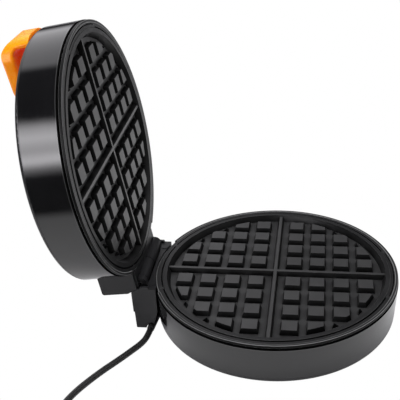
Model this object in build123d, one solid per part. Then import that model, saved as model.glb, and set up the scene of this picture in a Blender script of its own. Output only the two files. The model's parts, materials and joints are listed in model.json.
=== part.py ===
from build123d import *
from math import atan2, cos, degrees, hypot, pi, radians, sin, sqrt, tan
import os

# Round waffle maker with a hinged lid, shown with its lid open against the stop.
# Millimetres. Z is up from the table, X runs along the hinge and -Y is the front.
# Every piece is first made round the drum axis with the lid closed.
# At the end the lid turns open and the whole is moved to the middle of its footprint.

# Drum and lid shells
drum_radius = 103.0
drum_taper = 2.0
lid_taper = 0.3
shell_wall = 2.2
base_shell_height = 35.3
lid_shell_height = 32.5
base_edge_radius = 7.0
lid_edge_radius = 3.0
shell_rim_radius = 0.5
foot_gap = 4.4
ledge_width = 9.0
ledge_thickness = 1.8
bottom_ring_width = 12.0

# Waffle plates
flange_thickness = 3.0
flange_inset = 1.4
flange_shadow_inset = 2.0
flange_shadow_height = 1.0
flange_chamfer = 0.8
lip_rise = 0.45
lip_inset = 5.7
lip_width = 3.4
cavity_depth = 5.45
cavity_draft = 2.9
plate_wall_clearance = 0.4
plate_floor_thickness = 3.0
plate_corner_chamfer = 1.5
lip_gap = 0.3
groove_inset = 4.8
groove_width = 1.2
groove_depth = 1.6
front_groove_inset = 2.7
front_groove_width = 0.9
front_sector_angle = 40.0

# Stud grid of the plates
stud_pitch = 20.0
first_stud = 15.4
studs_per_quadrant = 4
stud_top_half = 6.0
stud_base_half = 7.4
stud_drop = 1.15
stud_clip_inset = 3.2
stud_clip_draft = 1.4
rib_top_half = 1.3
rib_base_half = 2.8
rib_root = 0.5

# Heating under the plates
element_radius = 62.0
element_tube = 3.2
element_gap = 0.05
element_opening_angle = 30.0
element_bend = 6.0
element_tail = 5.4
rib_ring_gap = 0.4
rib_ring_width = 1.6
rib_ring_height = 3.0
boss_circle_radius = 40.0
boss_radius = 4.0
boss_count = 3
boss_length = 8.7
boss_hole_depth = 7.0
shield_inset = 7.6
shield_thickness = 0.8
shield_rim_height = 3.0
shield_hole_radius = 5.0

# Hinge, with its places along Y counted from the hinge axis
axis_offset = 8.1
axis_rise = 1.0
lid_open_angle = 99.57
housing_half_width = 38.0
housing_wall = 2.5
barrel_radius = 6.0
cable_barrel_radius = 6.4
barrel_half_length = 24.9
barrel_step_x = 1.0
trough_radius = 7.0
ear_radius = 6.0
ear_gap = 0.4
near_ear_end = 31.0
far_ear_end = 34.5
cheek_width = 2.5
cheek_rise = 1.7
cheek_front_offset = 8.1
cheek_back_offset = 0.7
cheek_slope = 0.8
pocket_depth = 4.6
stop_gap = 0.3
ear_notch_gap = 0.6
housing_front_offset = 14.4
housing_back_offset = 6.3
housing_back_taper = 0.4
housing_top_rise = 0.3
seat_gap = 0.15
seam_height = 20.4
lid_housing_back_offset = 4.4
lid_housing_back_taper = 1.1
lid_housing_corner_offset = 3.0
lid_housing_corner_rise = 6.8
lid_housing_knee_rise = 9.8
lid_housing_heel = 0.2
lid_housing_inset = 3.1
lid_housing_clear = 1.1
lid_housing_edge = 2.0
pin_radius = 2.0
pin_fit = 0.08
pin_depth = 10.0
pin_proud = 0.6
press_fit = 0.02
bush_radius = 3.5
bush_bore = 2.7
bush_depth = 7.0
bore_end_gap = 0.5
boss_x = 28.5
boss_offset = 10.5
boss_rise = 0.8
rim_boss_radius = 3.2
rim_boss_length = 6.8

# Lower rear cover with the cord outlet
lower_inset = 1.0
lower_back_inset = 0.6
lower_bottom = 3.4
lower_front_offset = 14.0
lower_front_slant = 4.6
lower_taper = 0.6
lower_front_edge = 0.6
lower_back_edge = 1.0
tray_wall = 2.3
gland_height = 9.0
outlet_length = 30.0
outlet_radius = 4.4
tray_screw_x = 18.0
tray_screw_offset = 0.1
tray_screw_bite = 7.0
tray_column_radius = 3.0

# Window in the drum wall for the wires
window_left = -6.0
window_right = 30.0
window_depth = 8.0
window_drop = 10.0
window_rise = 7.0

# Handle
handle_half_width = 24.0
handle_overhang = 0.6
handle_length = 60.6
handle_height = 22.9
handle_front_lean = 1.0
handle_top_drop = 0.9
handle_shoulder_length = 45.6
handle_shoulder_radius = 16.0
handle_nose_radius = 13.0
handle_leg = 7.2
handle_leg_draft = 0.6
handle_bar = 9.7
handle_bar_setback = 5.0
handle_foot = 13.0
handle_plan_radius = 18.0
handle_side_radius = 3.5
handle_rim_radius = 2.0
finger_corner_front = 4.0
finger_corner_rear = 7.0
handle_screw_inset = 5.6
handle_rear_screw_inset = 6.5
handle_rear_screw_x = 14.0
handle_screw_head = 2.2
handle_screw_depth = 8.0

# Bottom cover and feet
cover_inset = 0.4
cover_thickness = 2.0
cover_fit = 0.3
cover_rim_lap = 5.0
cover_rim_width = 6.3
cover_boss_inset = 1.0
cover_boss_radius = 2.9
cover_boss_height = 5.0
cover_screw_lap = 3.2
cover_screw_length = 6.0
vent_count = 12
vent_inner = 30.0
vent_outer = 52.0
vent_width = 3.0
foot_radius = 7.5
foot_draft = 0.8
foot_x = 50.0
foot_y = 60.0
rear_foot_radius = 3.6
rear_foot_x = 26.0
rear_foot_offset = 0.5

# Fasteners
screw_radius = 1.4
screw_head_radius = 2.4
screw_head_height = 1.2
screw_fit = 0.1
screw_hole_run = 4.0
plate_screw_inset = 3.6
plate_screw_head = 1.7
plate_screw_angle = 20.0
plate_screw_length = 9.0
shield_screw_length = 6.5

# Electrical pieces
thermostat_radius = 8.0
thermostat_height = 7.2
thermostat_y = -22.0
strap_half_length = 14.0
strap_half_width = 3.0
strap_thickness = 0.8
strap_tab_width = 4.0
fuse_radius = 2.5
fuse_length = 22.0
fuse_y = 22.0
saddle_half_length = 4.0
saddle_wall = 1.0
block_half_width = 20.0
block_gap = 3.0
block_depth = 14.0
block_height = 10.0
lid_block_height = 12.0
lid_wire_drop = 2.5
clamp_spacing = 12.0
clamp_radius = 2.6
clamp_depth = 4.0
wire_radius = 1.1
wire_x = 16.0
wire_bend = 2.6
lead_radius = 1.6
lead_bore = 2.3
lead_x = 12.0
lead_joint_gap = 0.3
lead_joint_inset = 8.0
lead_drop_from_top = 13.0
bush_end_wall = 1.3
lens_radius = 3.0
lens_proud = 0.8
lens_x = 9.0
lens_y = -28.0
lens_flange_radius = 4.2
lens_flange = 1.0
lamp_holder_height = 7.0
lamp_holder_margin = 3.0
lamp_holder_half_depth = 6.0
lamp_holder_floor = 1.5
lamp_well_inset = 0.4

# Cord
cord_radius = 2.6
relief_base_radius = 3.8
relief_tip_radius = 3.0
relief_inner = (-20.0, 101.6, 6.0)
relief_tip = (-39.9, 103.41, 4.39)
cord_on_table = 2.7
coil_outer_radius = 34.5
coil_pitch = 5.9
coil_turns_per_layer = 2.0
plug_half_thickness = 8.0
plug_half_width = 12.0
plug_edge_radius = 5.0
plug_end_chamfer = 2.0
plug_length = 34.0
plug_sleeve_length = 22.0
plug_sleeve_start = 3.1
plug_sleeve_end = 4.2
grip_count = 5
grip_pitch = 4.0
grip_width = 1.8
grip_depth = 1.0
blade_length = 17.5
blade_spacing = 12.7
blade_width = 6.3
blade_thickness = 1.5

# Radii and places that follow from the sizes above
drum_foot_radius = drum_radius - drum_taper
lid_top_radius = drum_radius - lid_taper
ledge_inner_radius = drum_radius - ledge_width
bottom_opening_radius = drum_foot_radius - bottom_ring_width
flange_radius = drum_radius - flange_inset
lip_outer_radius = flange_radius - lip_inset
lip_inner_radius = lip_outer_radius - lip_width
cavity_floor_radius = lip_inner_radius - cavity_draft
plate_wall_radius = ledge_inner_radius - plate_wall_clearance
groove_radius = flange_radius - groove_inset
front_groove_radius = flange_radius - front_groove_inset
stud_clip_base_radius = cavity_floor_radius - stud_clip_inset
stud_clip_top_radius = stud_clip_base_radius - stud_clip_draft
plate_screw_circle = flange_radius - plate_screw_inset
shield_radius = plate_wall_radius - shield_inset
cover_rim_radius = bottom_opening_radius + cover_rim_lap
cover_screw_circle = bottom_opening_radius + cover_screw_lap
axis_y = drum_radius + axis_offset
cheek_front = axis_y - cheek_front_offset
cheek_back = axis_y - cheek_back_offset
housing_front = axis_y - housing_front_offset
housing_back = axis_y + housing_back_offset
housing_back_low = housing_back - housing_back_taper
lid_housing_back = axis_y + lid_housing_back_offset
lid_housing_back_top = lid_housing_back - lid_housing_back_taper
lid_housing_corner_y = axis_y + lid_housing_corner_offset
boss_y = axis_y - boss_offset
lower_front_top = axis_y - lower_front_offset
lower_front_bottom = lower_front_top + lower_front_slant
tray_screw_y = axis_y - tray_screw_offset
rear_foot_y = axis_y - rear_foot_offset
handle_front = drum_radius + handle_overhang
handle_rear = handle_front - handle_length
handle_rear_shoulder = handle_front - handle_shoulder_length
block_front = element_radius + block_gap
block_back = block_front + block_depth

# Heights that follow from the sizes above
rim_z = foot_gap + base_shell_height
flange_z = rim_z + flange_thickness
lip_z = flange_z + lip_rise
parting_z = lip_z + lip_gap / 2
floor_z = lip_z - cavity_depth
stud_z = lip_z - stud_drop
under_z = floor_z - plate_floor_thickness
lid_rim_z = 2 * parting_z - rim_z
lid_top_z = lid_rim_z + lid_shell_height
axis_z = parting_z + axis_rise
shield_z = under_z - boss_length
element_z = under_z - element_tube - element_gap
cover_z = foot_gap + cover_inset
block_z = cover_z + cover_thickness


def turned(points, radii=None):
    """Solid of revolution about Z, from corners given as (radius, height)."""
    corners = [(radius, 0, height) for radius, height in points]
    if radii is None:
        outline = Polyline(*corners, close=True)
    else:
        outline = FilletPolyline(*corners, radius=radii, close=True)
    return revolve(make_face(outline), Axis.Z)


def side_slab(points, x_low, x_high, radii=None):
    """Slab between two X values, from corners given as (y, z)."""
    corners = [(x_low, y, z) for y, z in points]
    if radii is None:
        outline = Polyline(*corners, close=True)
    else:
        outline = FilletPolyline(*corners, radius=radii, close=True)
    return extrude(make_face(outline), amount=x_high - x_low, dir=(1, 0, 0))


def block(x_low, x_high, y_low, y_high, z_low, z_high):
    """Rectangular block between two corners."""
    centre = ((x_low + x_high) / 2, (y_low + y_high) / 2, (z_low + z_high) / 2)
    return Pos(*centre) * Box(x_high - x_low, y_high - y_low, z_high - z_low)


def rod(start, end, radius, end_radius=None):
    """Round or tapered rod between two points."""
    path = Vector(*end) - Vector(*start)
    place = Plane(origin=start, z_dir=path)
    if end_radius is None:
        return place * Cylinder(radius, path.length, align=(Align.CENTER, Align.CENTER, Align.MIN))
    return place * Cone(radius, end_radius, path.length, align=(Align.CENTER, Align.CENTER, Align.MIN))


def tube(points, radius, bends):
    """Round bar of straight runs joined by tangent arcs."""
    path = FilletPolyline(*points, radius=bends)
    section = Plane(origin=path @ 0, z_dir=path % 0) * Circle(radius)
    return sweep(section, path=path)


def corner_radii(points):
    """Arc radius at each inner corner: 0.45 of the shorter run over the tangent of half the turn."""
    radii = []
    for before, corner, after in zip(points, points[1:], points[2:]):
        run_in = Vector(*corner) - Vector(*before)
        run_out = Vector(*after) - Vector(*corner)
        half_turn = radians(run_in.get_angle(run_out)) / 2
        radii.append(0.45 * min(run_in.length, run_out.length) / tan(half_turn))
    return radii


def on_circle(radius, angle):
    """Point on a circle round the drum axis, with the angle in degrees from +X."""
    return radius * cos(radians(angle)), radius * sin(radians(angle))


def to_lid(piece):
    """Mirror a base piece into the closed lid."""
    return mirror(piece, about=Plane.XY.offset(parting_z))


def opened_point(y, z):
    """Where a point of the closed lid lies when the lid is open."""
    turn = radians(-lid_open_angle)
    dy = y - axis_y
    dz = z - axis_z
    return axis_y + dy * cos(turn) - dz * sin(turn), axis_z + dy * sin(turn) + dz * cos(turn)


def sector_ring(inner, outer, low, high, middle_angle, span):
    """Part of a ring of rectangular section, centred on an angle."""
    corners = [(inner, 0, low), (outer, 0, low), (outer, 0, high), (inner, 0, high)]
    ring = revolve(make_face(Polyline(*corners, close=True)), Axis.Z, revolution_arc=span)
    return Rot(0, 0, middle_angle - span / 2) * ring


def screw(x, y, head_z, length, head_radius=screw_head_radius, up=True):
    """Pan-head screw whose shank runs up or down from under its head."""
    sign = 1 if up else -1
    head = rod((x, y, head_z - sign * screw_head_height), (x, y, head_z), head_radius)
    shank = rod((x, y, head_z), (x, y, head_z + sign * length), screw_radius)
    return head + shank


# Waffle plate

def studs():
    """Tapered studs in four quadrants, those at the edge trimmed by a cone."""
    height = stud_z - floor_z
    taper = degrees(atan2(stud_base_half - stud_top_half, height))
    foot = Rectangle(2 * stud_base_half, 2 * stud_base_half)
    stud = extrude(foot, amount=height, taper=taper)
    edge = Pos(0, 0, floor_z) * Cone(
        stud_clip_base_radius, stud_clip_top_radius, height, align=(Align.CENTER, Align.CENTER, Align.MIN)
    )
    grown = []
    for column in range(studs_per_quadrant):
        for row in range(studs_per_quadrant):
            x = first_stud + column * stud_pitch
            y = first_stud + row * stud_pitch
            if hypot(x - stud_base_half, y - stud_base_half) > stud_clip_base_radius - 1:
                continue
            at_edge = hypot(x + stud_base_half, y + stud_base_half) > stud_clip_top_radius - 1
            for side_x in (-1, 1):
                for side_y in (-1, 1):
                    placed_stud = Pos(side_x * x, side_y * y, floor_z) * stud
                    grown.append(placed_stud & edge if at_edge else placed_stud)
    return grown


def cross_ribs():
    """Two tapered ribs that part the waffle in four."""
    reach = cavity_floor_radius + 0.6
    half = [(rib_base_half, floor_z - rib_root), (rib_base_half, floor_z), (rib_top_half, stud_z)]
    section = half + [(-y, z) for y, z in reversed(half)]
    along_x = side_slab(section, -reach, reach)
    return along_x + Rot(0, 0, 90) * along_x


def waffle_plate():
    """Cast plate of the base: floor, lip, overflow groove, flange, studs, ribs and bosses."""
    groove_in = groove_radius - groove_width / 2
    groove_out = groove_radius + groove_width / 2
    shadow_radius = flange_radius - flange_shadow_inset
    plate = turned([
        (0, floor_z),
        (cavity_floor_radius, floor_z),
        (lip_inner_radius, lip_z),
        (lip_outer_radius, lip_z),
        (groove_in, flange_z),
        (groove_in, flange_z - groove_depth),
        (groove_out, flange_z - groove_depth),
        (groove_out, flange_z),
        (flange_radius - flange_chamfer, flange_z),
        (flange_radius, flange_z - flange_chamfer),
        (flange_radius, rim_z + flange_shadow_height),
        (shadow_radius, rim_z + flange_shadow_height),
        (shadow_radius, rim_z),
        (plate_wall_radius, rim_z),
        (plate_wall_radius, under_z + plate_corner_chamfer),
        (plate_wall_radius - plate_corner_chamfer, under_z),
        (0, under_z),
    ])
    plate += studs()
    plate += cross_ribs()
    front_in = front_groove_radius - front_groove_width / 2
    front_out = front_groove_radius + front_groove_width / 2
    floor_of_groove = flange_z - groove_depth
    plate += sector_ring(groove_in, groove_out, floor_of_groove, flange_z, -90, front_sector_angle)
    plate -= sector_ring(front_in, front_out, floor_of_groove, flange_z + 1, -90, front_sector_angle)
    for side in (-1, 1):
        angle = -90 + side * (front_sector_angle / 2)
        plate -= sector_ring(groove_in, front_out, floor_of_groove, flange_z + 1, angle, 0.6)
    for angle in boss_angles():
        x, y = on_circle(boss_circle_radius, angle)
        plate += rod((x, y, under_z), (x, y, shield_z), boss_radius)
        plate -= rod((x, y, shield_z - 1), (x, y, shield_z + boss_hole_depth), screw_radius + screw_fit)
    ring_in = element_radius - element_tube - rib_ring_gap
    ring_out = element_radius + element_tube + rib_ring_gap
    for inner in (ring_in - rib_ring_width, ring_out):
        plate += sector_ring(inner, inner + rib_ring_width, under_z - rib_ring_height, under_z, -90, 300)
    for angle in plate_screw_angles():
        x, y = on_circle(plate_screw_circle, angle)
        plate -= rod((x, y, flange_z - screw_head_height), (x, y, flange_z + 1), plate_screw_head + screw_fit)
        plate -= rod((x, y, rim_z - 1), (x, y, flange_z), screw_radius + screw_fit)
    return plate


def boss_angles():
    return [-90 + index * 360 / boss_count for index in range(boss_count)]


def plate_screw_angles():
    return [-90 - plate_screw_angle, -90 + plate_screw_angle, 90 - plate_screw_angle, 90 + plate_screw_angle]


def plate_screws():
    """Four flush screws that hold the plate to the ledge of its shell."""
    screws = Part()
    for angle in plate_screw_angles():
        x, y = on_circle(plate_screw_circle, angle)
        screws += screw(x, y, flange_z - screw_head_height, plate_screw_length, plate_screw_head, up=False)
    return screws


def heating_element():
    """Tubular ring heater with both ends bent away from the plate."""
    start = 90 + element_opening_angle / 2
    sweep_angle = 360 - element_opening_angle
    ring = CenterArc((0, 0, element_z), element_radius, start, sweep_angle)
    edges = [ring]
    down = Vector(0, 0, -1)
    for at, sign in ((0, -1), (1, 1)):
        place = ring @ at
        tangent = (ring % at) * sign
        low = place + tangent * element_bend + down * element_bend
        edges.append(TangentArc(place, low, tangent=tangent))
        edges.append(Line(low, low + down * element_tail))
    path = Wire(edges)
    section = Plane(origin=path @ 0, z_dir=path % 0) * Circle(element_tube)
    return sweep(section, path=path)


def element_tail_x():
    """Half distance between the two ends of the heating element."""
    half = radians(element_opening_angle / 2)
    return element_radius * sin(half) - element_bend * cos(half)


def element_tail_y():
    half = radians(element_opening_angle / 2)
    return element_radius * cos(half) + element_bend * sin(half)


def heat_shield():
    """Dished reflector that hangs on the bosses of the plate."""
    shield = turned([
        (0, shield_z - shield_thickness),
        (shield_radius, shield_z - shield_thickness),
        (shield_radius, shield_z + shield_rim_height),
        (shield_radius - shield_thickness, shield_z + shield_rim_height),
        (shield_radius - shield_thickness, shield_z),
        (0, shield_z),
    ])
    for side in (-1, 1):
        x = side * element_tail_x()
        y = element_tail_y()
        shield -= rod((x, y, shield_z - 2), (x, y, shield_z + 2), shield_hole_radius)
    for angle in boss_angles():
        x, y = on_circle(boss_circle_radius, angle)
        shield -= rod((x, y, shield_z - 2), (x, y, shield_z + 2), screw_radius + screw_fit)
    return shield


def shield_screws():
    screws = Part()
    for angle in boss_angles():
        x, y = on_circle(boss_circle_radius, angle)
        screws += screw(x, y, shield_z - shield_thickness, shield_screw_length)
    return screws


# Base

def base_shell():
    """Round pan with a rounded bottom edge and a ledge that carries the plate."""
    inner_foot = drum_foot_radius - shell_wall
    shell = turned(
        [
            (bottom_opening_radius, foot_gap),
            (drum_foot_radius, foot_gap),
            (drum_radius, rim_z),
            (ledge_inner_radius, rim_z),
            (ledge_inner_radius, rim_z - ledge_thickness),
            (drum_radius - shell_wall, rim_z - ledge_thickness),
            (inner_foot, foot_gap + shell_wall),
            (bottom_opening_radius, foot_gap + shell_wall),
        ],
        [0, base_edge_radius, shell_rim_radius, 0, 0, 0, base_edge_radius - shell_wall, 0],
    )
    for angle in plate_screw_angles():
        x, y = on_circle(plate_screw_circle, angle)
        shell -= rod((x, y, rim_z - screw_hole_run), (x, y, rim_z + 1), screw_radius + screw_fit)
    for angle in cover_screw_angles():
        x, y = on_circle(cover_screw_circle, angle)
        head_z = foot_gap + screw_head_height
        shell -= rod((x, y, foot_gap - 1), (x, y, head_z), screw_head_radius + screw_fit)
        shell -= rod((x, y, foot_gap), (x, y, foot_gap + screw_hole_run), screw_radius + screw_fit)
    return shell - wire_window()


def wire_window():
    """Opening for the wires between the drum and the rear mouldings."""
    front = drum_foot_radius - window_depth
    low = seam_height - window_drop
    high = seam_height + window_rise
    return block(window_left, window_right, front, drum_radius + 2, low, high)


def cover_screw_angles():
    return [45, 135, 225, 315]


def bottom_cover():
    """Dished disc that closes the pan from inside, with slots and screw bosses."""
    top = cover_z + cover_thickness
    seat = foot_gap + shell_wall
    edge = bottom_opening_radius - cover_fit
    cover = turned([
        (0, cover_z),
        (edge, cover_z),
        (edge, seat),
        (cover_rim_radius, seat),
        (cover_rim_radius, seat + cover_thickness),
        (cover_rim_radius - cover_rim_width, seat + cover_thickness),
        (cover_rim_radius - cover_rim_width, top),
        (0, top),
    ])
    for angle in cover_screw_angles():
        x, y = on_circle(cover_screw_circle - cover_boss_inset, angle)
        cover += rod((x, y, seat), (x, y, seat + cover_thickness + cover_boss_height), cover_boss_radius)
        x, y = on_circle(cover_screw_circle, angle)
        cover -= rod((x, y, seat - 1), (x, y, seat + cover_boss_height), screw_radius + screw_fit)
    half_width = vent_width / 2
    slot = block(vent_inner, vent_outer, -half_width, half_width, cover_z - 1, top + 1)
    for index in range(vent_count):
        cover -= Rot(0, 0, index * 360 / vent_count) * slot
    return cover


def cover_screws():
    screws = Part()
    for angle in cover_screw_angles():
        x, y = on_circle(cover_screw_circle, angle)
        screws += screw(x, y, foot_gap + screw_head_height, cover_screw_length)
    return screws


def feet():
    """Rubber feet, two under the drum in front and two under the rear cover."""
    pads = Part()
    for side in (-1, 1):
        front = side * foot_x
        rear = side * rear_foot_x
        pads += rod((front, -foot_y, 0), (front, -foot_y, cover_z), foot_radius - foot_draft, foot_radius)
        pads += rod((rear, rear_foot_y, 0), (rear, rear_foot_y, lower_bottom), rear_foot_radius)
    return pads


def drum_clearance(gap):
    """Space taken by the base drum and its plate, with a gap round it."""
    return turned([
        (0, -5),
        (drum_foot_radius + gap, -5),
        (drum_foot_radius + gap, foot_gap),
        (drum_radius + gap, rim_z),
        (drum_radius + gap, rim_z + gap),
        (flange_radius + 2 * gap, rim_z + gap),
        (flange_radius + 2 * gap, parting_z + 5),
        (0, parting_z + 5),
    ])


def bevel_height(y):
    """Height of the base's stop face, a set gap under the open lid housing."""
    start = opened_point(axis_y + lid_housing_heel, axis_z + 0.1)
    end = opened_point(lid_housing_corner_y, axis_z + lid_housing_corner_rise)
    slope = (end[1] - start[1]) / (end[0] - start[0])
    drop = stop_gap * sqrt(1 + slope * slope)
    return start[1] + slope * (y - start[0]) - drop


def axis_rod(x_low, x_high, radius):
    """Rod along the hinge axis."""
    return rod((x_low, axis_y, axis_z), (x_high, axis_y, axis_z), radius)


def hinge_housing():
    """Upper rear moulding: two ears round the hinge axis, a trough for the barrel, side cheeks."""
    top = parting_z + housing_top_rise
    bevel_start = axis_y + (bevel_height(axis_y) - top) / (bevel_height(axis_y) - bevel_height(axis_y + 1))
    half = housing_half_width
    housing = side_slab(
        [
            (housing_front, seam_height),
            (housing_back_low, seam_height),
            (housing_back, bevel_height(housing_back)),
            (bevel_start, top),
            (housing_front, top),
        ],
        -half, half,
    )
    ear_start = barrel_half_length + ear_gap
    cheek = [
        (cheek_front - cheek_slope, top - 1),
        (cheek_front, top + cheek_rise),
        (cheek_back - cheek_slope, top + cheek_rise),
        (cheek_back, top - 1),
    ]
    for side in (-1, 1):
        outer = side * half
        inner = side * (half - cheek_width)
        housing += side_slab(cheek, min(outer, inner), max(outer, inner))
    housing += axis_rod(-near_ear_end, -ear_start, ear_radius)
    housing += axis_rod(ear_start, far_ear_end, ear_radius)
    housing -= axis_rod(-ear_start, ear_start, trough_radius)
    housing -= block(-ear_start, ear_start, axis_y - trough_radius, axis_y + 12, axis_z, axis_z + 12)
    pocket_front = axis_y - trough_radius
    pocket_low = top - pocket_depth
    housing -= block(-half + cheek_width, -near_ear_end, pocket_front, axis_y + 9, pocket_low, top + 9)
    cavity_top = axis_z - trough_radius - housing_wall
    inside = half - housing_wall
    inner_back = housing_back_low - housing_wall
    housing -= block(-inside, inside, housing_front - 9, inner_back, seam_height - 1, cavity_top)
    for side in (-1, 1):
        x = side * boss_x
        boss_top = parting_z + boss_rise
        housing += rod((x, boss_y, boss_top - rim_boss_length), (x, boss_y, boss_top), rim_boss_radius)
        x = side * tray_screw_x
        y = tray_screw_y
        hole_top = seam_height + tray_screw_bite + 2
        housing += rod((x, y, seam_height), (x, y, cavity_top + 0.5), tray_column_radius)
        housing -= rod((x, y, seam_height - 1), (x, y, hole_top), screw_radius + screw_fit)
    housing -= axis_rod(-near_ear_end - 1, -ear_start + 1, pin_radius + press_fit)
    lead_drop = bush_end() + lead_bore
    housing -= axis_rod(ear_start - 1, bush_end(), bush_radius + press_fit)
    housing -= axis_rod(bush_end() - 0.01, lead_drop, lead_bore)
    housing -= rod((lead_drop, axis_y, cavity_top - 1), (lead_drop, axis_y, axis_z), lead_bore)
    housing -= Pos(lead_drop, axis_y, axis_z) * Sphere(lead_bore)
    return housing - drum_clearance(seat_gap)


def bush_end():
    """Outer end of the hollow bush, where the lead turns into it."""
    return far_ear_end - bush_end_wall - 2 * lead_bore


def lower_cover():
    """Lower rear moulding, set in behind the seam, with a slanted front and the cord outlet."""
    half = housing_half_width - lower_inset
    back = housing_back_low - lower_back_inset
    cover = side_slab(
        [
            (lower_front_top, seam_height),
            (lower_front_bottom, lower_bottom),
            (back - lower_taper, lower_bottom),
            (back, seam_height),
        ],
        -half, half,
        [0, lower_front_edge, lower_back_edge, 0],
    )
    inner_back = back - lower_taper - tray_wall
    inner_low = lower_bottom + tray_wall
    inner_front = lower_front_bottom + tray_wall
    outlet_wall = relief_tip[1] + outlet_radius + tray_wall
    gland_x = relief_inner[0] + 2 * tray_wall
    cover -= block(gland_x, half - tray_wall, inner_front, inner_back, inner_low, seam_height + 1)
    cover -= block(-half + tray_wall, gland_x + 1, outlet_wall, inner_back, inner_low, seam_height + 1)
    gland_top = lower_bottom + gland_height
    cover += block(relief_inner[0], gland_x, lower_front_top, outlet_wall, lower_bottom, gland_top)
    for side in (-1, 1):
        x = side * tray_screw_x
        y = tray_screw_y
        head_z = lower_bottom + screw_head_height
        cover += rod((x, y, lower_bottom), (x, y, seam_height), tray_column_radius)
        cover -= rod((x, y, lower_bottom - 1), (x, y, seam_height + 1), screw_radius + screw_fit)
        cover -= rod((x, y, lower_bottom - 1), (x, y, head_z), screw_head_radius + screw_fit)
    inner = Vector(*relief_inner)
    outward = (Vector(*relief_tip) - inner).normalized()
    outlet_end = inner + outward * outlet_length
    cover -= rod(tuple(inner), tuple(outlet_end), outlet_radius)
    cover -= extrude(make_face(outlet_floor(inner, outlet_end)), amount=20, dir=(0, 0, -1))
    cover -= mains_tail(cord_radius + screw_fit)
    return cover - drum_clearance(seat_gap)


def outlet_floor(start, end):
    """Strip along the cord outlet that opens it downwards."""
    along = (end - start).normalized()
    across = Vector(-along.Y, along.X, 0).normalized() * outlet_radius
    return Polyline(start + across, start - across, end - across, end + across, close=True)


def mains_tail(radius):
    """Cord inside the machine, from the strain relief through the drum wall to the connector block."""
    inner = Vector(*relief_inner)
    inward = (inner - Vector(*relief_tip)).normalized()
    middle_z = block_z + block_height / 2
    route = [
        tuple(inner),
        tuple(inner + inward * 5),
        (-9, 106.2, 9.0),
        (0, 107.5, 13.5),
        (7, housing_front + 4.5, seam_height - 4),
        (8, housing_front - 7, seam_height - 4.5),
        (8, block_back + 5, middle_z),
        (8, block_back, middle_z),
    ]
    return tube(route, radius, corner_radii(route))


def tray_screws():
    screws = Part()
    head_z = lower_bottom + screw_head_height
    length = seam_height + tray_screw_bite - lower_bottom
    for side in (-1, 1):
        screws += screw(side * tray_screw_x, tray_screw_y, head_z, length)
    return screws


def hinge_pin():
    """Solid pin in the near ear, on which the barrel turns."""
    return axis_rod(-near_ear_end - pin_proud, -barrel_half_length + pin_depth, pin_radius)


def hinge_bush():
    """Hollow bush in the far ear, which lets the lead through along the axis."""
    inner_end = barrel_half_length - bush_depth
    return axis_rod(inner_end, bush_end(), bush_radius) - axis_rod(inner_end - 1, bush_end() + 1, bush_bore)


def base_lead():
    """Base end of the lead that feeds the lid, up through the far ear to the hinge axis."""
    x = bush_end() + lead_bore
    middle_z = block_z + block_height / 2
    route = [
        (wire_x, block_back, middle_z),
        (wire_x, block_back + 7, middle_z),
        (wire_x + 2, housing_front - 3, seam_height + 3),
        (x - 5, axis_y - 7, seam_height + 6),
        (x, axis_y, seam_height + 8),
        (x, axis_y, axis_z),
        (lead_joint_x(), axis_y, axis_z),
    ]
    return tube(route, lead_radius, corner_radii(route))


def lead_joint_x():
    """Place on the hinge axis where the base end and the lid end of the lead meet."""
    return bush_end() - lead_joint_inset


def thermostat():
    """Disc thermostat against the underside of the plate, with its strap and tabs."""
    low = under_z - thermostat_height
    body = rod((0, thermostat_y, low), (0, thermostat_y, under_z), thermostat_radius)
    front = thermostat_y - strap_half_width
    back = thermostat_y + strap_half_width
    strap = block(-strap_half_length, strap_half_length, front, back, low - strap_thickness, low)
    tabs = Part()
    inner = strap_half_length - strap_tab_width
    tabs += block(-strap_half_length, -inner, front, back, low, under_z)
    tabs += block(inner, strap_half_length, front, back, low, under_z)
    return body + strap + tabs


def thermal_fuse():
    """Small cylindrical fuse held to the plate by a saddle."""
    middle_z = under_z - fuse_radius - element_gap
    fuse = rod((-fuse_length / 2, fuse_y, middle_z), (fuse_length / 2, fuse_y, middle_z), fuse_radius)
    reach = fuse_radius + saddle_wall
    half = saddle_half_length
    return fuse + block(-half, half, fuse_y - reach, fuse_y + reach, middle_z - reach, under_z)


def terminal_block(z_low, z_high):
    """Ceramic connector block with three clamp wells in its top."""
    body = block(-block_half_width, block_half_width, block_front, block_back, z_low, z_high)
    for index in (-1, 0, 1):
        x = index * clamp_spacing
        y = (block_front + block_back) / 2
        body -= rod((x, y, z_high - clamp_depth), (x, y, z_high + 1), clamp_radius)
    return body


def element_wires(wire_z, end_z):
    """Two wires from the connector block to the ends of the heating element."""
    wires = Part()
    for side in (-1, 1):
        x = side * element_tail_x()
        y = element_tail_y()
        route = [(x, block_front, wire_z), (x, y, wire_z), (x, y, end_z)]
        wires += tube(route, wire_radius, [wire_bend])
    return wires


def base_wiring():
    """Mains tail to the connector block, and the two heater wires."""
    wires = element_wires(block_z + block_height / 2, element_z - element_bend - element_tail)
    return [mains_tail(cord_radius)] + wires.solids()


def strain_relief():
    """Tapered sleeve round the cord where it leaves the rear cover."""
    return rod(relief_inner, relief_tip, relief_base_radius, relief_tip_radius)


# Lid

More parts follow.
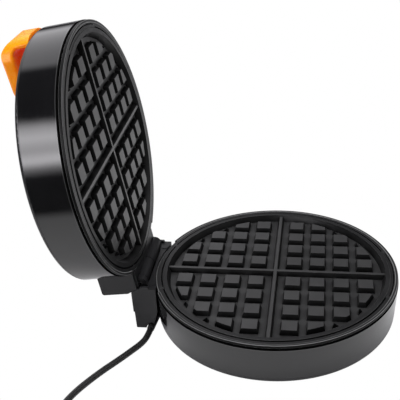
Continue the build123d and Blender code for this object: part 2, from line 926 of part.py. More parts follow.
def lid_shell():
    """Round cap with a small top edge radius, a ledge for the plate and holes for what it carries."""
    shell = turned(
        [
            (0, lid_top_z),
            (lid_top_radius, lid_top_z),
            (drum_radius, lid_rim_z),
            (ledge_inner_radius, lid_rim_z),
            (ledge_inner_radius, lid_rim_z + ledge_thickness),
            (drum_radius - shell_wall, lid_rim_z + ledge_thickness),
            (lid_top_radius - shell_wall, lid_top_z - shell_wall),
            (0, lid_top_z - shell_wall),
        ],
        [0, lid_edge_radius, shell_rim_radius, 0, 0, 0, 0, 0],
    )
    for angle in plate_screw_angles():
        x, y = on_circle(plate_screw_circle, angle)
        shell -= rod((x, y, lid_rim_z - 1), (x, y, lid_rim_z + screw_hole_run), screw_radius + screw_fit)
    for x, y in handle_screw_places():
        shell -= rod((x, y, lid_top_z - screw_hole_run), (x, y, lid_top_z + 1), screw_radius + screw_fit)
    inside_z = lid_top_z - screw_hole_run
    for x in (-lens_x, lens_x):
        shell -= rod((x, lens_y, inside_z), (x, lens_y, lid_top_z + 1), lens_radius + screw_fit)
    way_in = (lead_x, ledge_inner_radius, lead_height())
    way_out = (lead_x, drum_radius + 2, lead_height())
    shell -= rod(way_in, way_out, lead_bore)
    return shell


def lead_height():
    """Height at which the lead enters the closed lid."""
    return lid_top_z - lead_drop_from_top


def lid_clearance(gap):
    """Space taken by the closed lid shell and its plate, with a gap round it."""
    return turned([
        (0, parting_z - 3),
        (flange_radius + 2 * gap, parting_z - 3),
        (flange_radius + 2 * gap, lid_rim_z - gap),
        (drum_radius + gap, lid_rim_z - gap),
        (drum_radius + gap, lid_rim_z),
        (lid_top_radius + gap, lid_top_z),
        (0, lid_top_z),
    ])


def lid_hinge_housing():
    """Rear moulding of the lid with the hinge barrel and notches for the ears."""
    low = parting_z + lid_housing_clear
    high = lid_top_z - lid_housing_inset
    half = housing_half_width
    housing = side_slab(
        [
            (housing_front, low),
            (axis_y + lid_housing_heel, low),
            (lid_housing_corner_y, axis_z + lid_housing_corner_rise),
            (lid_housing_back, axis_z + lid_housing_knee_rise),
            (lid_housing_back_top, high),
            (housing_front, high),
        ],
        -half, half,
        [0, 0, 0, 0, lid_housing_edge, 0],
    )
    ear_start = barrel_half_length + ear_gap
    notch_radius = ear_radius + ear_notch_gap
    housing -= axis_rod(-near_ear_end - ear_notch_gap, -barrel_half_length, notch_radius)
    housing -= axis_rod(barrel_half_length, far_ear_end + ear_notch_gap, notch_radius)
    cheek_top = parting_z + housing_top_rise + cheek_rise + 0.4
    for side in (-1, 1):
        outer = side * (half + 1)
        inner = side * (half - cheek_width - 0.3)
        x_low, x_high = min(outer, inner), max(outer, inner)
        housing -= block(x_low, x_high, housing_front - 1, axis_y + 3, low - 1, cheek_top)
    cavity_low = axis_z + notch_radius + housing_wall
    inside = half - housing_wall
    inner_back = lid_housing_back_top - housing_wall
    housing -= block(-inside, inside, housing_front - 2, inner_back, cavity_low, high - housing_wall)
    housing += axis_rod(-barrel_half_length, barrel_step_x, barrel_radius)
    housing += axis_rod(barrel_step_x, barrel_half_length, cable_barrel_radius)
    pin_bore_end = pin_depth + bore_end_gap - barrel_half_length
    bush_bore_end = barrel_half_length - bush_depth - bore_end_gap
    housing -= axis_rod(-barrel_half_length - 1, pin_bore_end, pin_radius + pin_fit)
    housing -= axis_rod(bush_bore_end, barrel_half_length + 1, bush_radius + pin_fit)
    housing -= axis_rod(lead_x, barrel_half_length, lead_bore)
    housing -= rod((lead_x, axis_y, axis_z), (lead_x, axis_y, cavity_low + 7), lead_bore)
    housing -= Pos(lead_x, axis_y, axis_z) * Sphere(lead_bore)
    return housing - lid_clearance(seat_gap)


def lid_lead():
    """Lid end of the lead: out of the hollow bush, up through the barrel and into the lid."""
    route = [
        (lead_joint_x() - lead_joint_gap, axis_y, axis_z),
        (lead_x, axis_y, axis_z),
        (lead_x, axis_y, axis_z + 12),
        (lead_x, axis_y - 4, lead_height()),
        (lead_x, block_back, lead_height()),
    ]
    return tube(route, lead_radius, corner_radii(route))


def handle():
    """Arched grip with a finger opening that runs through along X."""
    top = lid_top_z
    outer = side_slab(
        [
            (-handle_front, top),
            (-handle_front + handle_front_lean, top + handle_height),
            (-handle_rear_shoulder, top + handle_height - handle_top_drop),
            (-handle_rear, top),
        ],
        -handle_half_width, handle_half_width,
        [0, handle_nose_radius, handle_shoulder_radius, 0],
    )
    sides = [outer.faces().sort_by(Axis.X)[0], outer.faces().sort_by(Axis.X)[-1]]
    edges = [edge for side in sides for edge in side.edges() if edge.center().Z > top + 1]
    outer = fillet(edges, handle_side_radius)
    plan = RectangleRounded(2 * handle_half_width, handle_front - handle_rear, handle_plan_radius)
    plan_y = -(handle_front + handle_rear) / 2
    outline = extrude(Pos(0, plan_y, top) * plan, amount=handle_height + 1)
    grip = outer & outline
    opening = side_slab(
        [
            (-handle_front + handle_leg, top - 1),
            (-handle_front + handle_leg + handle_leg_draft, top + handle_height - handle_bar),
            (-handle_rear_shoulder - handle_bar_setback, top + handle_height - handle_top_drop - handle_bar),
            (-handle_rear - handle_foot, top - 1),
        ],
        -handle_half_width - 1, handle_half_width + 1,
        [0, finger_corner_front, finger_corner_rear, 0],
    )
    grip -= opening
    rim = [
        edge for edge in grip.edges()
        if abs(edge.center().X) > handle_half_width / 2 and opening.distance_to(Vertex(*(edge @ 0.5))) < 0.001
    ]
    grip = fillet(rim, handle_rim_radius)
    for x, y in handle_screw_places():
        grip -= rod((x, y, top - 1), (x, y, top + handle_screw_depth + 1), screw_radius + screw_fit)
    return grip


def handle_screw_places():
    rear = -handle_rear - handle_rear_screw_inset
    front = -handle_front + handle_screw_inset
    return [(0, front), (-handle_rear_screw_x, rear), (handle_rear_screw_x, rear)]


def handle_screws():
    screws = Part()
    for x, y in handle_screw_places():
        screws += screw(x, y, lid_top_z - shell_wall, shell_wall + handle_screw_depth, handle_screw_head)
    return screws


def lens(side):
    """Domed signal lens with a flange inside the lid."""
    x = side * lens_x
    low = lid_top_z - shell_wall
    crown = lid_top_z + lens_proud
    stem = rod((x, lens_y, low - lens_flange), (x, lens_y, lid_top_z), lens_radius)
    dome = rod((x, lens_y, lid_top_z), (x, lens_y, crown), lens_radius, lens_radius - lens_proud)
    flange = rod((x, lens_y, low - lens_flange), (x, lens_y, low), lens_flange_radius)
    return stem + dome + flange


def lamp_holder():
    """Tray behind both lenses that holds the two signal lamps."""
    high = lid_top_z - shell_wall - lens_flange
    reach = lens_x + lens_flange_radius + lamp_holder_margin
    front = lens_y - lamp_holder_half_depth
    back = lens_y + lamp_holder_half_depth
    low = high - lamp_holder_height
    holder = block(-reach, reach, front, back, low, high)
    well_floor = low + lamp_holder_floor
    for x in (-lens_x, lens_x):
        holder -= rod((x, lens_y, well_floor), (x, lens_y, high + 1), lens_radius - lamp_well_inset)
    return holder


def lid_wiring():
    """Wires from the lid's connector block to its heating element."""
    wire_z = lid_block_top() - lid_wire_drop
    end_z = 2 * parting_z - (element_z - element_bend - element_tail)
    return element_wires(wire_z, end_z).solids()


def lid_block_bottom():
    return 2 * parting_z - shield_z + shield_thickness


def lid_block_top():
    return lid_block_bottom() + lid_block_height


# Cord, coil and plug

coil_x = -185.2
coil_y = 190.0
coil_start_y = coil_y - coil_outer_radius
cord_route = [
    relief_tip,
    (-49.7, 104.3, 3.6),
    (-57.6, 107.7, cord_on_table),
    (-66.5, 113.3, cord_on_table),
    (-78.0, 120.8, cord_on_table),
    (-98.0, 135.0, cord_on_table),
    (-124.0, 149.5, cord_on_table),
    (-151.0, coil_start_y, cord_on_table),
    (coil_x + 2 * cord_radius, coil_start_y, cord_on_table),
]


def power_cord():
    """Free stretch of the cord, from the strain relief to the coil."""
    radii = corner_radii(cord_route)
    print("cord radii", [round(radius, 1) for radius in radii])
    path = FilletPolyline(*cord_route, radius=radii)
    section = Plane(origin=path @ 0, z_dir=path % 0) * Circle(cord_radius)
    solid = sweep(section, path=path)
    expected = path.length * pi * cord_radius ** 2
    print("cord stretch length", round(path.length, 1), "volume ratio", round(solid.volume / expected, 4))
    return solid


def coil_point(turn):
    """Middle of the coiled cord after some turns: in on the lower layer, up, and out again."""
    middle = coil_turns_per_layer + 0.25
    radius = coil_outer_radius - coil_pitch * (middle - abs(turn - middle))
    share = min(max((turn - coil_turns_per_layer) / 0.5, 0.0), 1.0)
    height = cord_on_table + coil_pitch * (1 - cos(pi * share)) / 2
    angle = radians(-90) - 2 * pi * turn
    return Vector(coil_x + radius * cos(angle), coil_y + radius * sin(angle), height)


def coil_tangent(turn):
    """Direction of the cord at a point of the coil, straight at its two ends."""
    total = 2 * coil_turns_per_layer + 0.5
    if turn <= 0:
        return Vector(-1, 0, 0)
    if turn >= total:
        return Vector(1, 0, 0)
    step = 0.06
    return (coil_point(turn + step) - coil_point(turn - step)).normalized()


def biarc(start, start_way, end, end_way):
    """Two tangent arcs between two points with set directions."""
    chord = end - start
    both = start_way + end_way
    dot = chord.dot(both)
    spread = 2 * (1 - start_way.dot(end_way))
    reach = (-dot + sqrt(dot * dot + spread * chord.dot(chord))) / spread
    joint = (start + end + (start_way - end_way) * reach) * 0.5
    joint_way = (end - joint - end_way * reach + joint - start - start_way * reach)
    first = TangentArc(start, joint, tangent=start_way)
    second = TangentArc(joint, end, tangent=joint_way.normalized())
    return [first, second]


def coil_path():
    """Path of the coil: a straight end, quarter turns as biarcs, and a straight end."""
    total = 2 * coil_turns_per_layer + 0.5
    quarters = round(total * 4)
    straight = 2 * cord_radius
    start = coil_point(0)
    edges = [Line(start + Vector(straight, 0, 0), start)]
    for index in range(quarters):
        turn = index / 4
        next_turn = turn + 0.25
        edges += biarc(coil_point(turn), coil_tangent(turn), coil_point(next_turn), coil_tangent(next_turn))
    end = coil_point(total)
    edges.append(Line(end, end + Vector(straight, 0, 0)))
    return Wire(edges)


def least_gap(path):
    """Smallest free space between parts of the coil that are more than half a turn apart."""
    count = 700
    step = path.length / count
    points = [path @ (index / count) for index in range(count + 1)]
    skip = int(pi * coil_outer_radius / step * 0.8)
    least = 1000.0
    for index, place in enumerate(points):
        for other in points[index + skip:]:
            least = min(least, (place - other).length)
    return least - 2 * cord_radius


def cord_coil(path):
    section = Plane(origin=path @ 0, z_dir=path % 0) * Circle(cord_radius)
    return sweep(section, path=path)


def plug_start():
    """Where the coil's upper end meets the plug's sleeve."""
    total = 2 * coil_turns_per_layer + 0.5
    return coil_point(total) + Vector(2 * cord_radius, 0, 0)


def plug_body():
    """Flat moulded plug with a tapered sleeve, lying beside the coil."""
    start = plug_start()
    sleeve_end = start + Vector(plug_sleeve_length, 0, 0)
    sleeve = rod(tuple(start), tuple(sleeve_end), plug_sleeve_start, plug_sleeve_end)
    middle = sleeve_end + Vector(plug_length / 2, 0, 0)
    body = Pos(*middle) * Box(plug_length, 2 * plug_half_width, 2 * plug_half_thickness)
    body = fillet(body.edges().filter_by(Axis.X), plug_edge_radius)
    body = chamfer(body.faces().sort_by(Axis.X)[0].edges(), plug_end_chamfer)
    for index in range(grip_count):
        x = middle.X + (index - (grip_count - 1) / 2) * grip_pitch
        for side in (-1, 1):
            y = middle.Y + side * (plug_half_width - grip_depth / 2)
            body -= Pos(x, y, middle.Z) * Box(grip_width, grip_depth, 2 * plug_half_thickness)
    return sleeve + body


def plug_blades():
    start = plug_start()
    face_x = start.X + plug_sleeve_length + plug_length
    blades = Part()
    for side in (-1, 1):
        y = start.Y + side * blade_spacing / 2
        blades += block(face_x, face_x + blade_length, y - blade_thickness / 2, y + blade_thickness / 2,
                        start.Z - blade_width / 2, start.Z + blade_width / 2)
    return blades


# Assembly

base_pieces = {
    "base_shell": base_shell(),
    "base_bottom_cover": bottom_cover(),
    "base_cover_screws": cover_screws(),
    "base_feet": feet(),
    "base_waffle_plate": waffle_plate(),
    "base_plate_screws": plate_screws(),
    "base_heating_element": heating_element(),
    "base_heat_shield": heat_shield(),
    "base_shield_screws": shield_screws(),
    "base_thermostat": thermostat(),
    "base_thermal_fuse": thermal_fuse(),
    "base_terminal_block": terminal_block(block_z, block_z + block_height),
    "base_wiring": base_wiring(),
    "base_hinge_housing": hinge_housing(),
    "hinge_lower_cover": lower_cover(),
    "hinge_cover_screws": tray_screws(),
    "hinge_pin": hinge_pin(),
    "hinge_bush": hinge_bush(),
    "base_lead": base_lead(),
    "cord_strain_relief": strain_relief(),
}
lid_pieces = {
    "lid_shell": lid_shell(),
    "lid_waffle_plate": to_lid(base_pieces["base_waffle_plate"]),
    "lid_plate_screws": to_lid(base_pieces["base_plate_screws"]),
    "lid_heating_element": to_lid(base_pieces["base_heating_element"]),
    "lid_heat_shield": to_lid(base_pieces["base_heat_shield"]),
    "lid_shield_screws": to_lid(base_pieces["base_shield_screws"]),
    "lid_thermal_fuse": to_lid(base_pieces["base_thermal_fuse"]),
    "lid_terminal_block": terminal_block(lid_block_bottom(), lid_block_top()),
    "lid_wiring": lid_wiring(),
    "lid_hinge_housing": lid_hinge_housing(),
    "lid_lead": lid_lead(),
    "handle": handle(),
    "handle_screws": handle_screws(),
    "power_lens": lens(-1),
    "ready_lens": lens(1),
    "lamp_holder": lamp_holder(),
}
coil_wire = coil_path()
print("coil length", round(coil_wire.length, 1), "least gap", round(least_gap(coil_wire), 2))
cord_pieces = {
    "power_cord": power_cord(),
    "cord_coil": cord_coil(coil_wire),
    "plug_body": plug_body(),
    "plug_blades": plug_blades(),
}


def as_solids(piece):
    """Plain list of the solids of a piece."""
    if isinstance(piece, list):
        return [solid for item in piece for solid in item.solids()]
    return piece.solids()


hinge_line = Axis((0, axis_y, axis_z), (1, 0, 0))
placed = {name: Compound(as_solids(piece)) for name, piece in base_pieces.items()}
for name, piece in lid_pieces.items():
    placed[name] = Compound(as_solids(piece)).rotate(hinge_line, -lid_open_angle)
footprint = Compound(list(placed.values())).bounding_box()
shift_y = -(footprint.min.Y + footprint.max.Y) / 2
for name, piece in cord_pieces.items():
    placed[name] = Compound(as_solids(piece))

os.makedirs("parts", exist_ok=True)
for name, piece in placed.items():
    export_step(Pos(0, shift_y, 0) * piece, f"parts/{name}.step")
print("shift", round(shift_y, 4), "hinge axis y", round(axis_y + shift_y, 4), "z", round(axis_z, 4))
print("box x", round(footprint.min.X, 3), round(footprint.max.X, 3))
print("box z", round(footprint.min.Z, 3), round(footprint.max.Z, 3))
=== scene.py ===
import bmesh
import bpy
import json
from math import cos, pi, radians, sin
from mathutils import Matrix, Vector


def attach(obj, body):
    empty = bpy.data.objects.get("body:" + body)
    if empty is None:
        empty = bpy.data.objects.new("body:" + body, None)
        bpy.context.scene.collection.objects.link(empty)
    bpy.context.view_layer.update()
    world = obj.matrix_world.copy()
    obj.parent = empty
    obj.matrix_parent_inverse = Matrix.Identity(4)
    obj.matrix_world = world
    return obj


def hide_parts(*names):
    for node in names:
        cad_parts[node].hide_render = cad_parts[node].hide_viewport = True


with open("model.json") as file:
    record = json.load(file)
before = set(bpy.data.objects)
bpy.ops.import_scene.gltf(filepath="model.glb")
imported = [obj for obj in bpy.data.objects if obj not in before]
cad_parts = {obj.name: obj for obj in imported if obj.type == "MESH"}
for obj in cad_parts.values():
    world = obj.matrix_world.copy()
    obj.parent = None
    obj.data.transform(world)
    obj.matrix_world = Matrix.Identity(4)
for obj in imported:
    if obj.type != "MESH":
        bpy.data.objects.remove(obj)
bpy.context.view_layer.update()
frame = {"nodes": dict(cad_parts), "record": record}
nodes = frame["nodes"]

# Camera at the photograph's viewing angle: its place in metres, its turn in degrees
camera_place = Vector((-0.56600, -0.08593, 0.41964))
camera_azimuth = -82.131
camera_elevation = 28.464
camera_roll = -2.297
camera_clip = (0.02, 50)
frame_pixels = 400
focal_pixels = 794.72
centre_shift_x = 24.08
centre_shift_y = -1.06
sensor_width = 36.0

# Places of the solid model, in millimetres round the axis of the base's drum. That axis stands at
# drum_axis_y in the machine's frame, and the lid is open by an angle in degrees.
drum_axis_y = -49.357
hinge_y = 111.1
hinge_z = 44.3
parting_height = 43.3
lid_open_angle = 99.57

# Cord on the solid model's route, in millimetres round the drum axis
cord_radius = 2.6
cord_on_table = 2.7
relief_tip = (-39.9, 103.41, 4.39)
coil_x = -185.2
coil_y = 190.0
coil_outer_radius = 34.5
coil_pitch = 5.9
coil_turns_per_layer = 2.0
coil_climb_turns = 0.5
coil_points_per_turn = 16
cord_start_points = [
    relief_tip,
    (-49.7, 104.3, 3.6),
    (-57.6, 107.7, cord_on_table),
    (-66.5, 113.3, cord_on_table),
    (-78.0, 120.8, cord_on_table),
    (-98.0, 135.0, cord_on_table),
    (-124.0, 149.5, cord_on_table),
    (-151.0, coil_y - coil_outer_radius, cord_on_table),
]

# Order of the cord's curve and how finely it is drawn
cord_curve_order = 3
cord_steps_round = 6
cord_steps_along = 6


def metres(point):
    """Point of the machine's frame, from millimetres round the drum axis."""
    x, y, z = point
    return Vector((x, y + drum_axis_y, z)) / 1000


def added(name, data):
    """New object in the scene."""
    item = bpy.data.objects.new(name, data)
    bpy.context.scene.collection.objects.link(item)
    return item


# Camera

def make_camera():
    azimuth = radians(camera_azimuth)
    elevation = radians(camera_elevation)
    roll = radians(camera_roll)
    back = Vector((sin(azimuth) * cos(elevation), -cos(azimuth) * cos(elevation), sin(elevation)))
    right = Vector((cos(azimuth), sin(azimuth), 0))
    up = back.cross(right)
    rolled_right = right * cos(roll) + up * sin(roll)
    rolled_up = up * cos(roll) - right * sin(roll)
    data = bpy.data.cameras.new("camera")
    data.sensor_width = sensor_width
    data.lens = focal_pixels / frame_pixels * sensor_width
    data.shift_x = -centre_shift_x / frame_pixels
    data.shift_y = centre_shift_y / frame_pixels
    data.clip_start, data.clip_end = camera_clip
    camera = added("camera", data)
    turn = Matrix((rolled_right, rolled_up, back)).transposed()
    camera.matrix_world = Matrix.Translation(camera_place) @ turn.to_4x4()
    bpy.context.scene.camera = camera


make_camera()


# Cord

def coil_point(turn):
    """Middle of the coiled cord after some turns: in on the lower layer, up, and out again."""
    middle = coil_turns_per_layer + coil_climb_turns / 2
    radius = coil_outer_radius - coil_pitch * (middle - abs(turn - middle))
    share = min(max((turn - coil_turns_per_layer) / coil_climb_turns, 0.0), 1.0)
    height = cord_on_table + coil_pitch * (1 - cos(pi * share)) / 2
    angle = radians(-90) - 2 * pi * turn
    return coil_x + radius * cos(angle), coil_y + radius * sin(angle), height


def cord_points():
    """Points of the whole cord: its start on the table, the coil and a short run on to the plug."""
    points = list(cord_start_points)
    start = coil_point(0)
    points.append((start[0] + 2 * cord_radius, start[1], start[2]))
    turns = 2 * coil_turns_per_layer + coil_climb_turns
    count = round(turns * coil_points_per_turn)
    for index in range(count + 1):
        points.append(coil_point(index * turns / count))
    end = coil_point(turns)
    points.append((end[0] + 2 * cord_radius, end[1], end[2]))
    return [metres(point) for point in points]


def make_cord():
    """Cord as a round curve. Each point carries its radius, so that the curve's own box is the cord's."""
    curve = bpy.data.curves.new("power_lead", "CURVE")
    curve.dimensions = "3D"
    curve.bevel_depth = 1.0
    curve.bevel_resolution = cord_steps_round
    curve.resolution_u = cord_steps_along
    curve.use_fill_caps = True
    points = cord_points()
    spline = curve.splines.new("NURBS")
    spline.points.add(len(points) - 1)
    for point, place in zip(spline.points, points):
        point.co = (*place, 1.0)
        point.radius = cord_radius / 1000
    spline.order_u = cord_curve_order
    spline.use_endpoint_u = True
    lead = added("power_lead", curve)
    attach(lead, "base")
    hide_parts("power_cord", "cord_coil")
    # The polished walls don't mirror the cord, and it casts no shade
    lead.visible_glossy = False
    lead.visible_shadow = False
    lead.visible_diffuse = False
    return lead


power_lead = make_cord()


# Trim of the plates, in millimetres round the drum axis: the section of their rolled edge as radius
# and height, the angle in degrees that it leaves open on each side of the hinge, and their ribs' ends

trim_profile = [
    (99.8, 42.5), (100.3, 42.9), (101.3, 43.05), (102.0, 43.0), (102.45, 42.75), (102.6, 42.3),
    (102.55, 40.6), (102.3, 40.35), (101.4, 40.35), (101.4, 41.8),
]
trim_open_side = 23.5
trim_segments = 160
trim_sharp_angle = 40
rib_end = (89.8, 92.3)
rib_half_top = 1.3
rib_half_foot = 2.8
rib_heights = (37.5, 41.99)


def on_base(x, y, z):
    return metres((x, y, z))


def on_lid(x, y, z):
    """Place on the open lid that mirrors a place on the base."""
    turn = radians(-lid_open_angle)
    dy = y - hinge_y
    dz = 2 * parting_height - z - hinge_z
    return metres((x, hinge_y + dy * cos(turn) - dz * sin(turn), hinge_z + dy * sin(turn) + dz * cos(turn)))


def trim_shape():
    """Points and faces of the rolled edge and of the four rib ends."""
    points = []
    faces = []
    sides = len(trim_profile)
    for index in range(trim_segments + 1):
        angle = radians(90 + trim_open_side + (360 - 2 * trim_open_side) * index / trim_segments)
        points += [(radius * cos(angle), radius * sin(angle), height) for radius, height in trim_profile]
    for index in range(trim_segments):
        near = index * sides
        for side in range(sides):
            after = (side + 1) % sides
            faces.append((near + side, near + sides + side, near + sides + after, near + after))
    faces.append(tuple(range(sides)))
    faces.append(tuple(range(trim_segments * sides, (trim_segments + 1) * sides))[::-1])
    low, high = rib_heights
    section = [(-rib_half_foot, low), (rib_half_foot, low), (rib_half_top, high), (-rib_half_top, high)]
    for quarter in range(4):
        along = Vector((cos(pi * quarter / 2), sin(pi * quarter / 2)))
        across = Vector((-along.y, along.x))
        start = len(points)
        for reach in rib_end:
            for offset, height in section:
                place = along * reach + across * offset
                points.append((place.x, place.y, height))
        for near in range(4):
            after = (near + 1) % 4
            faces.append((start + near, start + after, start + 4 + after, start + 4 + near))
        faces.append((start + 3, start + 2, start + 1, start))
        faces.append((start + 4, start + 5, start + 6, start + 7))
    return points, faces


def make_trim(body, place):
    points, faces = trim_shape()
    mesh = bpy.data.meshes.new(body + "_plate_edge")
    mesh.from_pydata([place(*point) for point in points], [], faces)
    mesh.update()
    work = bmesh.new()
    work.from_mesh(mesh)
    bmesh.ops.recalc_face_normals(work, faces=work.faces)
    work.to_mesh(mesh)
    work.free()
    mesh.shade_smooth()
    mesh.set_sharp_from_angle(angle=radians(trim_sharp_angle))
    edge = added(body + "_plate_edge", mesh)
    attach(edge, body)
    return edge


plate_edges = [make_trim("base", on_base), make_trim("lid", on_lid)]


# Node helpers

# Range that holds most values of a noise
noise_low = 0.3
noise_high = 0.7

# Sockets of the Mix node when it mixes colours
mix_first_colour = 6
mix_second_colour = 7
mix_colour_result = 2


def noise(tree, scale, detail, stretch=None):
    """Noise in the piece's own coordinates, with its scale in cells per metre."""
    place = tree.nodes.new("ShaderNodeTexCoord")
    texture = tree.nodes.new("ShaderNodeTexNoise")
    texture.inputs["Scale"].default_value = scale
    texture.inputs["Detail"].default_value = detail
    source = place.outputs["Object"]
    if stretch:
        mapping = tree.nodes.new("ShaderNodeMapping")
        mapping.inputs["Scale"].default_value = stretch
        tree.links.new(source, mapping.inputs["Vector"])
        source = mapping.outputs["Vector"]
    tree.links.new(source, texture.inputs["Vector"])
    return texture.outputs["Fac"]


def ranged(tree, source, low, high, start=noise_low, end=noise_high):
    """Brings a value from the range of start to end into the range of low to high."""
    node = tree.nodes.new("ShaderNodeMapRange")
    node.inputs["From Min"].default_value = start
    node.inputs["From Max"].default_value = end
    node.inputs["To Min"].default_value = low
    node.inputs["To Max"].default_value = high
    tree.links.new(source, node.inputs["Value"])
    return node.outputs["Result"]


def smooth_step(tree, source, start, end):
    """Rises softly from zero at the start to one at the end, or falls if the end is the lower."""
    node = tree.nodes.new("ShaderNodeMapRange")
    node.interpolation_type = "SMOOTHSTEP"
    node.inputs["From Min"].default_value = start
    node.inputs["From Max"].default_value = end
    tree.links.new(source, node.inputs["Value"])
    return node.outputs["Result"]


def combined(tree, operation, *sources):
    """Joins sockets, or numbers after the first socket, by one operation."""
    result = sources[0]
    for source in sources[1:]:
        node = tree.nodes.new("ShaderNodeMath")
        node.operation = operation
        tree.links.new(result, node.inputs[0])
        if isinstance(source, float):
            node.inputs[1].default_value = source
        else:
            tree.links.new(source, node.inputs[1])
        result = node.outputs["Value"]
    return result


def vector_step(tree, operation, source, other=None):
    """One vector operation, with a fixed second vector where it takes one."""
    node = tree.nodes.new("ShaderNodeVectorMath")
    node.operation = operation
    tree.links.new(source, node.inputs[0])
    if other is not None:
        node.inputs[1].default_value = other
    return node.outputs["Value" if operation in ("LENGTH", "DOT_PRODUCT") else "Vector"]


def drum_direction(place):
    """Direction of the drum axis on the base or the open lid."""
    reach = 100
    return (place(0, 0, parting_height + reach) - place(0, 0, parting_height)).normalized()


def from_drum_centre(tree, place):
    """Offset from the middle of the parting plane, in metres, on the base or the open lid."""
    source = tree.nodes.new("ShaderNodeTexCoord").outputs["Object"]
    return vector_step(tree, "SUBTRACT", source, place(0, 0, parting_height))


def radius_on_drum(tree, place):
    """Distance from the drum axis, in metres."""
    across = vector_step(tree, "CROSS_PRODUCT", from_drum_centre(tree, place), drum_direction(place))
    return vector_step(tree, "LENGTH", across)


def height_on_drum(tree, place):
    """Height over the parting plane, in metres."""
    return vector_step(tree, "DOT_PRODUCT", from_drum_centre(tree, place), drum_direction(place))


# Materials

tint_detail = 3.0
grain_detail = 4.0
weave_detail = 2.0
coat_roughness = 0.04

# Lacquer: heights over the parting plane, in metres, between which the painted highlight (a fine light
# line) and the painted shadow (a dark band at the rim) set in and the duller outer edge ends
painted_rim_highlight = (-0.0054, -0.0051)
painted_rim_shadow = (-0.0048, -0.0046)
outer_edge = (-0.0335, -0.0320)
painted_rim_highlight_tint = (0.06, 0.06, 0.062)
painted_rim_shadow_tint = (0.003, 0.003, 0.003)
lacquer_coat = 0.35
lacquer_specular = 0.5
outer_edge_roughness = 0.32
lacquer_finish = (
    (0.006, 0.006, 0.007), (0.009, 0.009, 0.010), (0.07, 0.12), 30, 700, 0.000004,
    {"Coat Weight": lacquer_coat},
)

# Coating of the plates. Each pair is the range over which a change sets in or ends: the openness of
# hollows for painted shade, the radius in metres at the lip, the squared cosine of the slope for painted
# shade on steep sides and painted highlights on edges
coating_finish = (
    (0.030, 0.030, 0.031), (0.042, 0.042, 0.043), (0.32, 0.42), 60, 2600, 0.00003, {},
)
hollow_reach = 0.012
hollow_samples = 16
hollow_open = (0.35, 1.0)
hollow_painted_shade_strength = 0.85
hollow_painted_shade_tint = (0.001, 0.001, 0.001)
lip_start = (0.0919, 0.0927)
lip_strength = 0.6
lip_tint = (0.004, 0.004, 0.0045)
side_slope = (0.30, 0.60)
steep_side_painted_shade_strength = 0.6
steep_side_painted_shade_tint = (0.002, 0.002, 0.002)
painted_edge_highlight_from = (0.28, 0.42)
painted_edge_highlight_to = (0.97, 0.80)
painted_edge_highlight_strength = 0.9
painted_edge_highlight_tint = (0.24, 0.24, 0.245)
sheen_open = (0.45, 0.95)
sheen_in_hollows = 0.05
sheen_outside = 0.6
sheen_on_lip = 0.45
sheen_on_sides = 0.35

# Woven sleeve: scales in cells per metre, depth in metres
sleeve_tints = ((0.60, 0.58, 0.52), (0.80, 0.79, 0.74))
sleeve_tint_scale = 900
sleeve_weave_scale = 3500
sleeve_weave_depth = 0.00006
sleeve_roughness = 0.75

